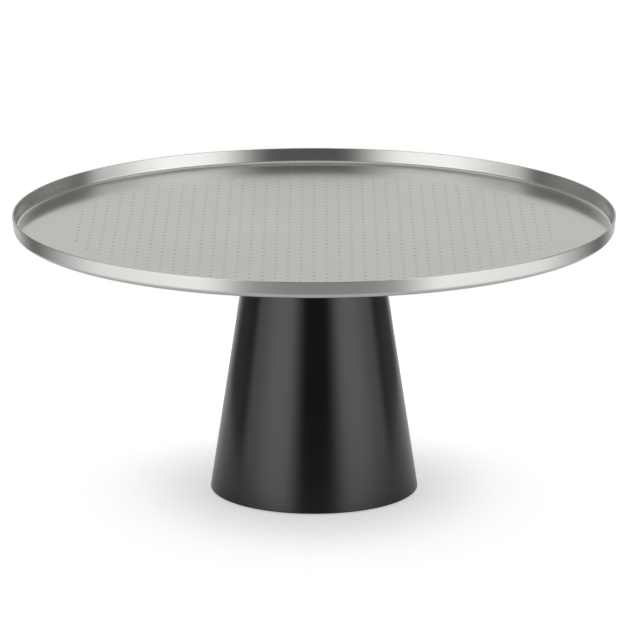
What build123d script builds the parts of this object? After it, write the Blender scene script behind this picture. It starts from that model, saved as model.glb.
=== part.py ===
from build123d import *
from build123d.topology import SkipClean

import os
from math import cos, hypot, pi, radians, sin, sqrt

# Cake turntable. A shallow spun-steel tray turns on two ball bearings at the top of a weighted conical
# pedestal.
#
# Millimetres, +Z up. The origin is the middle of the footprint, on the surface that the turntable stands on.
#
# Bodies, from the table up:
#   pedestal     foot ring, ballast with its cover and tie bolt, conical shell, bearing housing, outer rings
#   cages        one cage of balls in each bearing, which creeps round at a fixed share of the tray's speed
#   turning top  both inner rings, the flanged spindle, the hub plate and the tray
#
# The tie bolt runs up the middle. It pulls the ballast into the taper of the shell from below and the
# housing's flange down on the shell's top, so the pedestal comes apart with one key.

# ---------------------------------------------------------------- driving dimensions

OVERALL_HEIGHT = 142.5  # table to the lip of the tray

TRAY_DIAMETER = 300.0  # outside, at the lip
TRAY_SHEET = 0.8
RIM_HEIGHT = 8.5  # underside of the tray's floor to the lip
RIM_FLARE = 0.8  # how far the wall leans out over that height
RIM_BEND_RADIUS = 2.7  # outside of the bend between floor and wall
LIP_EDGE_RADIUS = 0.3

DIMPLE_PITCH = 7.1  # between neighbours of the staggered field
DIMPLE_DIAMETER = 2.0
DIMPLE_DEPTH = 0.14
DIMPLE_FIELD_RADIUS = 122.0
DIMPLED_PANEL_RADIUS = 126.0  # the part of the floor that the dimples are in, one face

HUB_PLATE_DIAMETER = 110.0
HUB_PLATE_THICKNESS = 3.0
HUB_PLATE_CHAMFER = 0.5
STUD_CIRCLE = 92.0
STUD_COUNT = 4
STUD_DIAMETER = 4.0
STUD_COLLAR_DIAMETER = 5.6
STUD_COLLAR_HEIGHT = 0.7
STUD_END_CHAMFER = 0.4
STUD_HOLE_DIAMETER = 4.5
STUD_THREAD_STANDOUT = 1.2  # past the end of the nut
STUD_WASHER_DIAMETER = 9.0
STUD_WASHER_THICKNESS = 0.8
STUD_NUT_FLATS = 7.0
STUD_NUT_HEIGHT = 5.0
STUD_NUT_COLLAR_HEIGHT = 1.6  # the round nylon-locking end of the nut
STUD_NUT_COLLAR_DIAMETER = 6.4
STUD_NUT_CORNER_TRIM = 1.4  # the hexagon's corners are turned off to this much over its flats
STUD_NUT_FACE_TRIM = 0.6  # and to this much at the face that beds on the washer

SPINDLE_FLANGE_DIAMETER = 34.0
SPINDLE_FLANGE_THICKNESS = 4.0
SPINDLE_PILOT_DIAMETER = 14.0  # centres the hub plate
SPINDLE_PILOT_HEIGHT = 2.2
SPINDLE_SHOULDER_DIAMETER = 16.0
SPINDLE_SHOULDER_HEIGHT = 0.5  # keeps the flange off the outer ring
SPINDLE_TAIL = 2.0  # below the groove
SPINDLE_END_CHAMFER = 0.6
HUB_SCREW_COUNT = 3
HUB_SCREW_LENGTH = 6.6

TOP_GAP = 1.0  # hub plate to housing flange, the gap that the top turns on

BEARING_BORE = 12.0
BEARING_OUTSIDE = 28.0
BEARING_WIDTH = 8.0
BEARING_SPACING = 38.0  # middle to middle
BALL_DIAMETER = 4.762
BALL_COUNT = 8
BALL_GAP = 0.05  # ball to raceway, all round
RACE_CONFORMITY = 0.52  # groove radius as a share of the ball's diameter
LAND_STANDOFF = 1.7  # from the circle of the balls' middles to either ring
SHIELD_THICKNESS = 0.4
SHIELD_INSET = 0.4  # below the ring's face
SHIELD_SEAT_STEP = 0.7  # how far the outer ring is cut back to take a shield
SHIELD_GAP = 0.2  # shield to inner ring
CAGE_WALL = 2.0
CAGE_WEB = 0.4  # under the pockets
CAGE_ABOVE = 1.4  # from the balls' middle to the open edge
CAGE_POCKET_GAP = 0.15
RING_EDGE_CHAMFER = 0.3

WAVE_WASHER_THICKNESS = 0.5
WAVE_WASHER_DIAMETER = 15.6
RETAINING_RING_THICKNESS = 1.0
RETAINING_RING_WIDTH = 2.1
RETAINING_RING_OPENING = 60.0  # degrees
RETAINING_RING_LUG_DIAMETER = 3.4
RETAINING_RING_LUG_OVERHANG = 0.6  # past the ring's own outside
RETAINING_RING_HOLE_DIAMETER = 1.4
GROOVE_DEPTH = 0.25
GROOVE_SIDE_GAP = 0.05

HOUSING_FLANGE_DIAMETER = 61.0
HOUSING_FLANGE_THICKNESS = 2.5
HOUSING_FLANGE_CHAMFER = 0.6
HOUSING_WALL = 6.0  # round the bearings
HOUSING_FLANGE_POCKET_GAP = 1.0  # round the spindle's flange
HOUSING_SHOULDER = 2.2  # between the two seats, what the outer rings sit on
HOUSING_TAIL = 8.5  # barrel below the lower bearing
HOUSING_TAIL_RELIEF = 0.3  # the tail's bore is this much wider all round than the bearing
DOWEL_DIAMETER = 3.0
DOWEL_LENGTH = 4.5
DOWEL_CHAMFER = 0.3
DOWEL_COVER = 0.6  # metal left over the dowels
DOWEL_COUNT = 2

CAP_FLANGE_THICKNESS = 6.0
CAP_SPIGOT_HEIGHT = 3.0
CAP_SPIGOT_GAP = 0.05
CAP_BOSS_DIAMETER = 18.0
CAP_BOSS_HEIGHT = 8.0
CAP_ROOF = 1.0  # metal left over the tie bolt's blind hole
CAP_SCREW_COUNT = 3
CAP_SCREW_LENGTH = 12.0
CAP_THREAD_SPARE = 1.0  # depth of the threaded holes past the screws' ends

PEDESTAL_BASE_DIAMETER = 104.4  # outside, at the bottom edge
PEDESTAL_TOP_DIAMETER = 65.8  # outside, where the cone would meet its flat top
PEDESTAL_SHEET = 1.5
PEDESTAL_TOP_BEND = 3.5
PEDESTAL_EDGE_RADIUS = 0.5
SHELL_HOLE_GAP = 0.1  # round the housing's barrel

BALLAST_HEIGHT = 25.0
BALLAST_LIFT = 3.0  # table to its underside
BALLAST_TOP_CHAMFER = 2.0

FOOT_PROJECTION = 0.6  # foot ring below the shell's edge
FOOT_RING_WIDTH = 6.5
FOOT_RING_GAP = 0.4  # to the shell
FOOT_RING_FIT = 0.05  # to the sides of its groove
FOOT_GROOVE_DEPTH = 1.6
FOOT_EDGE_RADIUS = 0.6

COVER_THICKNESS = 1.5
COVER_GAP = 1.5  # to the foot ring
COVER_SCREW_CIRCLE = 66.0
COVER_SCREW_COUNT = 3
COVER_SCREW_LENGTH = 8.0

TIE_BOLT_DIAMETER = 8.0
TIE_BOLT_HEAD_DIAMETER = 13.0
TIE_BOLT_HEAD_HEIGHT = 8.0
TIE_BOLT_KEY = 6.0  # across the flats of its socket
TIE_BOLT_KEY_DEPTH = 4.0
TIE_BOLT_END_GAP = 1.0  # to the end of its threaded hole
TIE_BOLT_HEAD_CHAMFER = 0.6
TIE_WELL_DIAMETER = 21.0
TIE_WELL_DEPTH = 11.6  # of the hole in the ballast that its head lies in
TIE_WASHER_DIAMETER = 16.0
TIE_WASHER_THICKNESS = 1.6
HOLE_GAP = 0.2  # plain hole round a screw, and how far a countersunk head lies below the face
THREAD_GAP = 0.03  # threads are plain cylinders, this far apart

M3_DIAMETER, M3_HEAD, M3_KEY = 3.0, 5.6, 2.0
M4_DIAMETER, M4_HEAD, M4_KEY = 4.0, 7.6, 2.5
KEY_DEPTH = 1.2  # of a countersunk screw's socket

# ---------------------------------------------------------------- worked out from them

floor_underside = OVERALL_HEIGHT - RIM_HEIGHT
floor_top = floor_underside + TRAY_SHEET
hub_underside = floor_underside - HUB_PLATE_THICKNESS
spindle_flange_underside = hub_underside - SPINDLE_FLANGE_THICKNESS
housing_top = hub_underside - TOP_GAP
shell_top = housing_top - HOUSING_FLANGE_THICKNESS
shell_bottom = FOOT_PROJECTION

upper_bearing_top = spindle_flange_underside - SPINDLE_SHOULDER_HEIGHT
upper_bearing_bottom = upper_bearing_top - BEARING_WIDTH
lower_bearing_top = upper_bearing_top - BEARING_SPACING
lower_bearing_bottom = lower_bearing_top - BEARING_WIDTH
wave_washer_bottom = lower_bearing_bottom - WAVE_WASHER_THICKNESS
retaining_ring_bottom = wave_washer_bottom - RETAINING_RING_THICKNESS
spindle_bottom = retaining_ring_bottom - SPINDLE_TAIL
housing_bottom = lower_bearing_bottom - HOUSING_TAIL
cap_flange_underside = housing_bottom - CAP_FLANGE_THICKNESS
cap_boss_bottom = cap_flange_underside - CAP_BOSS_HEIGHT
cap_top = housing_bottom + CAP_SPIGOT_HEIGHT
dowel_top = housing_top - DOWEL_COVER

ballast_top = BALLAST_LIFT + BALLAST_HEIGHT
tie_well_top = BALLAST_LIFT + TIE_WELL_DEPTH
tie_head_top = tie_well_top - TIE_WASHER_THICKNESS
tie_bolt_top = cap_top - CAP_ROOF - TIE_BOLT_END_GAP
tie_bolt_length = tie_bolt_top - tie_head_top  # under the head

cone_height = shell_top - shell_bottom
cone_slope = (PEDESTAL_BASE_DIAMETER - PEDESTAL_TOP_DIAMETER) / 2 / cone_height
shell_wall_across = PEDESTAL_SHEET * hypot(1, cone_slope)  # the wall's thickness measured level
groove_radius = BEARING_BORE / 2 - GROOVE_DEPTH
ball_circle = (BEARING_BORE + BEARING_OUTSIDE) / 2
inner_land = ball_circle - 2 * LAND_STANDOFF
outer_land = ball_circle + 2 * LAND_STANDOFF
shield_seat = outer_land + 2 * SHIELD_SEAT_STEP
housing_barrel = BEARING_OUTSIDE + 2 * HOUSING_WALL
housing_tail_bore = BEARING_OUTSIDE + 2 * HOUSING_TAIL_RELIEF
cap_screw_circle = (housing_tail_bore + housing_barrel) / 2
dowel_circle = (housing_barrel + HOUSING_FLANGE_DIAMETER) / 2
hub_screw_circle = (SPINDLE_PILOT_DIAMETER + SPINDLE_FLANGE_DIAMETER) / 2
shell_mouth = PEDESTAL_BASE_DIAMETER / 2 - shell_wall_across  # inside radius at the bottom edge
foot_groove_outside = shell_mouth - BALLAST_LIFT * cone_slope - FOOT_RING_GAP
foot_groove_inside = foot_groove_outside - FOOT_RING_WIDTH
foot_groove_top = BALLAST_LIFT + FOOT_GROOVE_DEPTH
cover_underside = BALLAST_LIFT - COVER_THICKNESS
cover_radius = foot_groove_inside - COVER_GAP
cage_share = (1 - BALL_DIAMETER / ball_circle) / 2  # cage turns per turn of the tray


# ---------------------------------------------------------------- shared shapes

STANDING = (Align.CENTER, Align.CENTER, Align.MIN)  # a shape stands on the level that it's placed at


def disc(diameter, bottom, top):
    """A plain cylinder on the main axis."""
    return Pos(0, 0, bottom) * Cylinder(diameter / 2, top - bottom, align=STANDING)


def ring(inside, outside, bottom, top):
    """A plain ring on the main axis."""
    return disc(outside, bottom, top) - disc(inside, bottom, top)


def cone(bottom_diameter, top_diameter, bottom, top):
    """A frustum on the main axis."""
    return Pos(0, 0, bottom) * Cone(bottom_diameter / 2, top_diameter / 2, top - bottom, align=STANDING)


def hexagon(flats, bottom, top):
    """A hexagonal prism on the main axis."""
    outline = RegularPolygon(flats / 2, 6, major_radius=False)
    return Pos(0, 0, bottom) * extrude(outline, top - bottom)


def round_the_axis(count, circle, first_angle=0.0):
    """Places spaced evenly round a circle about the main axis."""
    return [
        Pos(circle / 2 * cos(angle), circle / 2 * sin(angle), 0)
        for angle in (radians(first_angle) + 2 * pi * i / count for i in range(count))
    ]


def at_each(places, shape):
    """One copy of the shape at each place, as separate solids."""
    return Compound(children=[place * shape for place in places])


def less_each(shape, places, tool):
    """The shape with the tool cut away at each place."""
    for place in places:
        shape = shape - place * tool
    return shape


def nearest(face, point):
    """The corner of the face that lies nearest to the point."""
    return face.vertices().sort_by(lambda v: (Vector(v) - Vector(point)).length)[0]


def countersunk_screw(diameter, head, key, length, face, head_up=True):
    """A countersunk socket screw on the main axis, its head just below the face that it's sunk in."""
    top = face - HOLE_GAP
    head_height = (head - diameter) / 2
    body = disc(diameter, top - length, top) + cone(diameter, head, top - head_height, top)
    body = body - hexagon(key, top - KEY_DEPTH, top)
    return body if head_up else flipped(body, face)


def countersink(diameter, head, face, depth, head_up=True):
    """The clearance hole that a countersunk screw sits in, as a solid to cut away."""
    wide, hole = head + 2 * HOLE_GAP, diameter + 2 * HOLE_GAP
    tool = disc(hole, face - depth, face) + cone(hole, wide, face - (wide - hole) / 2, face)
    return tool if head_up else flipped(tool, face)


def flipped(shape, height):
    """The shape turned upside down about a level line at that height."""
    return Pos(0, 0, height) * Rot(180, 0, 0) * Pos(0, 0, -height) * shape


# ---------------------------------------------------------------- the turning top

def dimple_places():
    """Middles of the dimples: a staggered field whose close-packed rows run along Y."""
    row_gap = DIMPLE_PITCH * sqrt(3) / 2
    reach = int(DIMPLE_FIELD_RADIUS / row_gap) + 1
    for row in range(-reach, reach + 1):
        for step in range(-reach, reach + 1):
            x, y = row * row_gap, (step + row % 2 / 2) * DIMPLE_PITCH
            if hypot(x, y) <= DIMPLE_FIELD_RADIUS:
                yield x, y


def make_tray():
    """A shallow pan spun from one sheet: flat floor, tight bend, low wall that leans out, rounded lip."""
    lean = RIM_FLARE / RIM_HEIGHT
    wall_across = TRAY_SHEET * hypot(1, lean)
    outer_foot = TRAY_DIAMETER / 2 - RIM_FLARE
    inner_foot = outer_foot - wall_across + lean * TRAY_SHEET
    outline = Polyline(
        (DIMPLED_PANEL_RADIUS, 0, floor_underside),
        (outer_foot, 0, floor_underside),
        (TRAY_DIAMETER / 2, 0, OVERALL_HEIGHT),
        (TRAY_DIAMETER / 2 - wall_across, 0, OVERALL_HEIGHT),
        (inner_foot, 0, floor_top),
        (DIMPLED_PANEL_RADIUS, 0, floor_top),
        close=True,
    )
    section = make_face(outline)
    section = fillet(section.vertices().group_by(Axis.Z)[-1], LIP_EDGE_RADIUS)
    section = fillet(nearest(section, (outer_foot, 0, floor_underside)), RIM_BEND_RADIUS)
    section = fillet(nearest(section, (inner_foot, 0, floor_top)), RIM_BEND_RADIUS - TRAY_SHEET)
    half_rim = revolve(section, Axis.Z, 180)
    panel = disc(2 * DIMPLED_PANEL_RADIUS, floor_underside, floor_top)
    ball_radius = ((DIMPLE_DIAMETER / 2) ** 2 + DIMPLE_DEPTH ** 2) / (2 * DIMPLE_DEPTH)
    ball = Sphere(ball_radius)
    ball_height = floor_top - DIMPLE_DEPTH + ball_radius
    panel = panel.cut(*[Pos(x, y, ball_height) * ball for x, y in dimple_places()])
    with SkipClean():  # the rim keeps its two halves as faces of their own
        return panel + half_rim + Rot(0, 0, 180) * half_rim


def stud_places():
    return round_the_axis(STUD_COUNT, STUD_CIRCLE, first_angle=45)


def make_weld_studs():
    """Threaded studs, resistance-welded to the tray's underside so that nothing shows on top."""
    end = hub_underside - STUD_WASHER_THICKNESS - STUD_NUT_HEIGHT - STUD_THREAD_STANDOUT
    stud = disc(STUD_DIAMETER, end, floor_underside)
    stud = chamfer(stud.edges().sort_by(Axis.Z)[0], STUD_END_CHAMFER)
    collar = disc(STUD_COLLAR_DIAMETER, floor_underside - STUD_COLLAR_HEIGHT, floor_underside)
    return at_each(stud_places(), stud + collar)


def make_hub_plate():
    """Turned disc under the tray. Its bore centres on the spindle, and its screws lie in countersinks."""
    plate = disc(HUB_PLATE_DIAMETER, hub_underside, floor_underside)
    plate = chamfer(plate.edges().filter_by(GeomType.CIRCLE), HUB_PLATE_CHAMFER)
    plate = plate - disc(SPINDLE_PILOT_DIAMETER + 2 * THREAD_GAP, hub_underside, floor_underside)
    stud_hole = disc(STUD_HOLE_DIAMETER, hub_underside, floor_underside)
    collar_bottom = floor_underside - STUD_COLLAR_HEIGHT - HOLE_GAP
    collar_room = disc(STUD_COLLAR_DIAMETER + 2 * HOLE_GAP, collar_bottom, floor_underside)
    plate = less_each(plate, stud_places(), stud_hole + collar_room)
    sink = countersink(M4_DIAMETER, M4_HEAD, floor_underside, HUB_PLATE_THICKNESS)
    return less_each(plate, hub_screw_places(), sink)


def hub_screw_places():
    return round_the_axis(HUB_SCREW_COUNT, hub_screw_circle, first_angle=90)


def make_hub_screws():
    """Countersunk screws that fasten the hub plate to the spindle's flange."""
    screw = countersunk_screw(M4_DIAMETER, M4_HEAD, M4_KEY, HUB_SCREW_LENGTH, floor_underside)
    return at_each(hub_screw_places(), screw)


def make_stud_washers():
    bottom = hub_underside - STUD_WASHER_THICKNESS
    return at_each(stud_places(), ring(STUD_HOLE_DIAMETER, STUD_WASHER_DIAMETER, bottom, hub_underside))


def make_stud_nuts():
    """Nylon-insert lock nuts: a hexagon with a round collar at the locking end."""
    top = hub_underside - STUD_WASHER_THICKNESS
    step = top - STUD_NUT_HEIGHT + STUD_NUT_COLLAR_HEIGHT
    trim = cone(STUD_NUT_FLATS + STUD_NUT_CORNER_TRIM, STUD_NUT_FLATS + STUD_NUT_FACE_TRIM, step, top)
    nut = hexagon(STUD_NUT_FLATS, step, top) & trim
    nut = nut + disc(STUD_NUT_COLLAR_DIAMETER, top - STUD_NUT_HEIGHT, step)
    nut = nut - disc(STUD_DIAMETER + 2 * THREAD_GAP, top - STUD_NUT_HEIGHT, top)
    return at_each(stud_places(), nut)


def make_spindle():
    """Flanged shaft. The flange takes the hub plate, the shoulder sits on the upper inner ring."""
    shaft = disc(BEARING_BORE - 2 * THREAD_GAP, spindle_bottom, upper_bearing_top)
    shaft = chamfer(shaft.edges().sort_by(Axis.Z)[0], SPINDLE_END_CHAMFER)
    spindle = (
        shaft
        + disc(SPINDLE_SHOULDER_DIAMETER, upper_bearing_top, spindle_flange_underside)
        + disc(SPINDLE_FLANGE_DIAMETER, spindle_flange_underside, hub_underside)
        + disc(SPINDLE_PILOT_DIAMETER, hub_underside, hub_underside + SPINDLE_PILOT_HEIGHT)
    )
    groove_bottom = retaining_ring_bottom - GROOVE_SIDE_GAP
    groove = ring(2 * groove_radius, SPINDLE_SHOULDER_DIAMETER, groove_bottom, wave_washer_bottom)
    thread = disc(M4_DIAMETER + 2 * THREAD_GAP, spindle_flange_underside, hub_underside)
    return less_each(spindle - groove, hub_screw_places(), thread)


def make_wave_washer():
    """Spring washer between the lower inner ring and the retaining ring, drawn pressed flat."""
    return ring(BEARING_BORE + 2 * HOLE_GAP, WAVE_WASHER_DIAMETER, wave_washer_bottom, lower_bearing_bottom)


def make_retaining_ring():
    """External retaining ring in the spindle's groove: an open ring with two lugs for the pliers."""
    inner, outer = groove_radius + THREAD_GAP, groove_radius + RETAINING_RING_WIDTH
    body = ring(2 * inner, 2 * outer, retaining_ring_bottom, wave_washer_bottom)
    half = radians(RETAINING_RING_OPENING / 2)
    reach, spread = 2 * outer * cos(half), 2 * outer * sin(half)
    mouth = make_face(Polyline((0, 0), (reach, spread), (reach, -spread), close=True))
    body = body - Pos(0, 0, retaining_ring_bottom) * extrude(mouth, RETAINING_RING_THICKNESS)
    lug_radius = outer - RETAINING_RING_LUG_DIAMETER / 2 + RETAINING_RING_LUG_OVERHANG
    turn = half + RETAINING_RING_LUG_DIAMETER / 2 / lug_radius
    for side in (-1, 1):
        place = Pos(lug_radius * cos(turn), side * lug_radius * sin(turn), 0)
        lug = disc(RETAINING_RING_LUG_DIAMETER, retaining_ring_bottom, wave_washer_bottom)
        hole = disc(RETAINING_RING_HOLE_DIAMETER, retaining_ring_bottom, wave_washer_bottom)
        body = body + (place * lug - disc(2 * inner, retaining_ring_bottom, wave_washer_bottom))
        body = body - place * hole
    return Rot(0, 0, 90) * body


# ---------------------------------------------------------------- the two ball bearings

def race(groove_middle):
    """The round bar bent to a ring that a raceway's groove is cut with."""
    return Torus(groove_middle, RACE_CONFORMITY * BALL_DIAMETER)


def make_inner_ring(top):
    """Inner ring with a deep groove, its top face at the given height."""
    middle = Pos(0, 0, top - BEARING_WIDTH / 2)
    body = ring(BEARING_BORE, inner_land, top - BEARING_WIDTH, top)
    body = chamfer(body.edges().filter_by(GeomType.CIRCLE), RING_EDGE_CHAMFER)
    floor = (ball_circle - BALL_DIAMETER) / 2 - BALL_GAP
    return body - middle * race(floor + RACE_CONFORMITY * BALL_DIAMETER)


def make_outer_ring(top):
    """Outer ring with a deep groove and a step at each end for the shields."""
    middle = Pos(0, 0, top - BEARING_WIDTH / 2)
    body = disc(BEARING_OUTSIDE, top - BEARING_WIDTH, top)
    body = chamfer(body.edges().filter_by(GeomType.CIRCLE), RING_EDGE_CHAMFER)
    body = body - disc(outer_land, top - BEARING_WIDTH, top)
    step = SHIELD_INSET + SHIELD_THICKNESS
    body = body - disc(shield_seat, top - step, top)
    body = body - disc(shield_seat, top - BEARING_WIDTH, top - BEARING_WIDTH + step)
    floor = (ball_circle + BALL_DIAMETER) / 2 + BALL_GAP
    return body - middle * race(floor - RACE_CONFORMITY * BALL_DIAMETER)


def make_shields(top):
    """The two pressed shields that close a bearing."""
    inside = inner_land + 2 * SHIELD_GAP
    outside = shield_seat - 2 * THREAD_GAP
    heights = (top - SHIELD_INSET, top - BEARING_WIDTH + SHIELD_INSET + SHIELD_THICKNESS)
    return Compound(children=[ring(inside, outside, z - SHIELD_THICKNESS, z) for z in heights])


def make_balls(top):
    """The ring of balls, one solid each."""
    ball = Pos(0, 0, top - BEARING_WIDTH / 2) * Sphere(BALL_DIAMETER / 2)
    return at_each(round_the_axis(BALL_COUNT, ball_circle), ball)


def make_cage(top):
    """Snap cage: a moulded ring with round pockets, open upwards."""
    middle = top - BEARING_WIDTH / 2
    pocket_radius = BALL_DIAMETER / 2 + CAGE_POCKET_GAP
    bottom = middle - pocket_radius - CAGE_WEB
    body = ring(ball_circle - CAGE_WALL, ball_circle + CAGE_WALL, bottom, middle + CAGE_ABOVE)
    pocket = Pos(0, 0, middle) * Sphere(pocket_radius)
    return less_each(body, round_the_axis(BALL_COUNT, ball_circle), pocket)


# ---------------------------------------------------------------- the pedestal

def make_bearing_housing():
    """Turned housing: a flange that sits on the shell, and a barrel with a seat for each bearing."""
    seat = BEARING_OUTSIDE + 2 * THREAD_GAP
    body = disc(HOUSING_FLANGE_DIAMETER, shell_top, housing_top)
    body = chamfer(body.edges().sort_by(Axis.Z)[-1], HOUSING_FLANGE_CHAMFER)
    body = body + disc(housing_barrel, housing_bottom, shell_top)
    pocket = SPINDLE_FLANGE_DIAMETER + 2 * HOUSING_FLANGE_POCKET_GAP
    body = body - disc(pocket, upper_bearing_top, housing_top)
    body = body - disc(seat, upper_bearing_bottom, upper_bearing_top)
    throat = BEARING_OUTSIDE - 2 * HOUSING_SHOULDER
    body = body - disc(throat, lower_bearing_top, upper_bearing_bottom)
    body = body - disc(seat, lower_bearing_bottom, lower_bearing_top)
    body = body - disc(housing_tail_bore, housing_bottom, lower_bearing_bottom)
    thread_depth = CAP_SCREW_LENGTH - CAP_FLANGE_THICKNESS + CAP_THREAD_SPARE
    thread = disc(M3_DIAMETER + 2 * THREAD_GAP, housing_bottom, housing_bottom + thread_depth)
    body = less_each(body, cap_screw_places(), thread)
    socket = disc(DOWEL_DIAMETER + 2 * THREAD_GAP, shell_top, dowel_top)
    return less_each(body, dowel_places(), socket)


def cap_screw_places():
    return round_the_axis(CAP_SCREW_COUNT, cap_screw_circle, first_angle=90)


def dowel_places():
    return round_the_axis(DOWEL_COUNT, dowel_circle)


def make_dowels():
    """Pins through the shell's flat top that stop the housing turning in it."""
    pin = disc(DOWEL_DIAMETER, dowel_top - DOWEL_LENGTH, dowel_top)
    return at_each(dowel_places(), chamfer(pin.edges().filter_by(GeomType.CIRCLE), DOWEL_CHAMFER))


def make_end_cap():
    """Cap that closes the housing. Its boss has the thread for the tie bolt."""
    body = (
        disc(housing_tail_bore - 2 * CAP_SPIGOT_GAP, housing_bottom, cap_top)
        + disc(housing_barrel, cap_flange_underside, housing_bottom)
        + disc(CAP_BOSS_DIAMETER, cap_boss_bottom, cap_flange_underside)
    )
    body = body - disc(TIE_BOLT_DIAMETER + 2 * THREAD_GAP, cap_boss_bottom, cap_top - CAP_ROOF)
    sink = countersink(M3_DIAMETER, M3_HEAD, cap_flange_underside, CAP_FLANGE_THICKNESS, head_up=False)
    return less_each(body, cap_screw_places(), sink)


def make_end_cap_screws():
    face = cap_flange_underside
    screw = countersunk_screw(M3_DIAMETER, M3_HEAD, M3_KEY, CAP_SCREW_LENGTH, face, head_up=False)
    return at_each(cap_screw_places(), screw)


def make_pedestal_shell():
    """Spun conical shell, open below, with a flat top that has a hole for the bearing housing."""
    base, top = PEDESTAL_BASE_DIAMETER / 2, PEDESTAL_TOP_DIAMETER / 2
    ceiling = shell_top - PEDESTAL_SHEET
    inner_top = top + PEDESTAL_SHEET * cone_slope - shell_wall_across
    hole = housing_barrel / 2 + SHELL_HOLE_GAP
    outline = Polyline(
        (base, 0, shell_bottom),
        (top, 0, shell_top),
        (hole, 0, shell_top),
        (hole, 0, ceiling),
        (inner_top, 0, ceiling),
        (shell_mouth, 0, shell_bottom),
        close=True,
    )
    section = make_face(outline)
    section = fillet(nearest(section, (top, 0, shell_top)), PEDESTAL_TOP_BEND)
    section = fillet(nearest(section, (inner_top, 0, ceiling)), PEDESTAL_TOP_BEND - PEDESTAL_SHEET)
    section = fillet(nearest(section, (base, 0, shell_bottom)), PEDESTAL_EDGE_RADIUS)
    section = fillet(nearest(section, (shell_mouth, 0, shell_bottom)), PEDESTAL_EDGE_RADIUS)
    shell = revolve(section, Axis.Z)
    dowel_hole = disc(DOWEL_DIAMETER + 2 * THREAD_GAP, ceiling, shell_top)
    return less_each(shell, dowel_places(), dowel_hole)


def shell_inside_radius(height):
    return shell_mouth - (height - shell_bottom) * cone_slope


def make_ballast():
    """Cast weight that wedges in the shell, with a well for the tie bolt's head and a foot ring groove."""
    wide, narrow = 2 * shell_inside_radius(BALLAST_LIFT), 2 * shell_inside_radius(ballast_top)
    body = cone(wide, narrow, BALLAST_LIFT, ballast_top)
    body = chamfer(body.edges().sort_by(Axis.Z)[-1], BALLAST_TOP_CHAMFER)
    body = body - disc(TIE_WELL_DIAMETER, BALLAST_LIFT, tie_well_top)
    body = body - disc(TIE_BOLT_DIAMETER + 2 * HOLE_GAP, tie_well_top, ballast_top)
    groove = ring(2 * foot_groove_inside, 2 * foot_groove_outside, BALLAST_LIFT, foot_groove_top)
    thread = disc(M3_DIAMETER + 2 * THREAD_GAP, BALLAST_LIFT, BALLAST_LIFT + COVER_SCREW_LENGTH)
    return less_each(body - groove, cover_screw_places(), thread)


def make_foot_ring():
    """Soft ring in the ballast's groove, which the turntable stands on."""
    inside, outside = foot_groove_inside + FOOT_RING_FIT, foot_groove_outside - FOOT_RING_FIT
    body = ring(2 * inside, 2 * outside, 0, foot_groove_top)
    return fillet(body.edges().filter_by(GeomType.CIRCLE).group_by(Axis.Z)[0], FOOT_EDGE_RADIUS)


def cover_screw_places():
    return round_the_axis(COVER_SCREW_COUNT, COVER_SCREW_CIRCLE, first_angle=30)


def make_base_cover():
    """Thin disc under the ballast that hides the tie bolt."""
    body = disc(2 * cover_radius, cover_underside, BALLAST_LIFT)
    sink = countersink(M3_DIAMETER, M3_HEAD, cover_underside, COVER_THICKNESS, head_up=False)
    return less_each(body, cover_screw_places(), sink)


def make_base_cover_screws():
    length = COVER_SCREW_LENGTH
    screw = countersunk_screw(M3_DIAMETER, M3_HEAD, M3_KEY, length, cover_underside, head_up=False)
    return at_each(cover_screw_places(), screw)


def make_tie_bolt():
    """Socket-head bolt up the middle of the pedestal, from the ballast to the end cap."""
    head_bottom = tie_head_top - TIE_BOLT_HEAD_HEIGHT
    body = disc(TIE_BOLT_HEAD_DIAMETER, head_bottom, tie_head_top)
    body = chamfer(body.edges().sort_by(Axis.Z)[0], TIE_BOLT_HEAD_CHAMFER)
    body = body + disc(TIE_BOLT_DIAMETER, tie_head_top, tie_bolt_top)
    return body - hexagon(TIE_BOLT_KEY, head_bottom, head_bottom + TIE_BOLT_KEY_DEPTH)


def make_tie_bolt_washer():
    return ring(TIE_BOLT_DIAMETER + 2 * HOLE_GAP, TIE_WASHER_DIAMETER, tie_head_top, tie_well_top)


# ---------------------------------------------------------------- writing the parts

def nodes():
    """Each sub-part's name and shape."""
    yield "tray", make_tray()
    yield "tray_weld_studs", make_weld_studs()
    yield "hub_plate", make_hub_plate()
    yield "hub_screws", make_hub_screws()
    yield "stud_washers", make_stud_washers()
    yield "stud_lock_nuts", make_stud_nuts()
    yield "spindle", make_spindle()
    yield "wave_washer", make_wave_washer()
    yield "spindle_retaining_ring", make_retaining_ring()
    bearings = (("upper_bearing", upper_bearing_top), ("lower_bearing", lower_bearing_top))
    for name, top in bearings:
        yield f"{name}_inner_ring", make_inner_ring(top)
        yield f"{name}_outer_ring", make_outer_ring(top)
        yield f"{name}_shields", make_shields(top)
        yield f"{name}_balls", make_balls(top)
        yield f"{name}_cage", make_cage(top)
    yield "bearing_housing", make_bearing_housing()
    yield "housing_dowels", make_dowels()
    yield "housing_end_cap", make_end_cap()
    yield "end_cap_screws", make_end_cap_screws()
    yield "pedestal_shell", make_pedestal_shell()
    yield "ballast", make_ballast()
    yield "foot_ring", make_foot_ring()
    yield "base_cover", make_base_cover()
    yield "base_cover_screws", make_base_cover_screws()
    yield "tie_bolt", make_tie_bolt()
    yield "tie_bolt_washer", make_tie_bolt_washer()


os.makedirs("parts", exist_ok=True)
for node, shape in nodes():
    export_step(shape, f"parts/{node}.step")
print(f"cage turns per turn of the tray: {cage_share:.5f}, tie bolt {tie_bolt_length:.1f} long")
for bottom, top in ((upper_bearing_bottom, upper_bearing_top), (lower_bearing_bottom, lower_bearing_top)):
    print(f"bearing middle at z = {(bottom + top) / 2:.2f}")
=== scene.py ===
import logging
from dataclasses import dataclass, replace
from enum import Enum
from math import radians
from typing import Protocol

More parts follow.
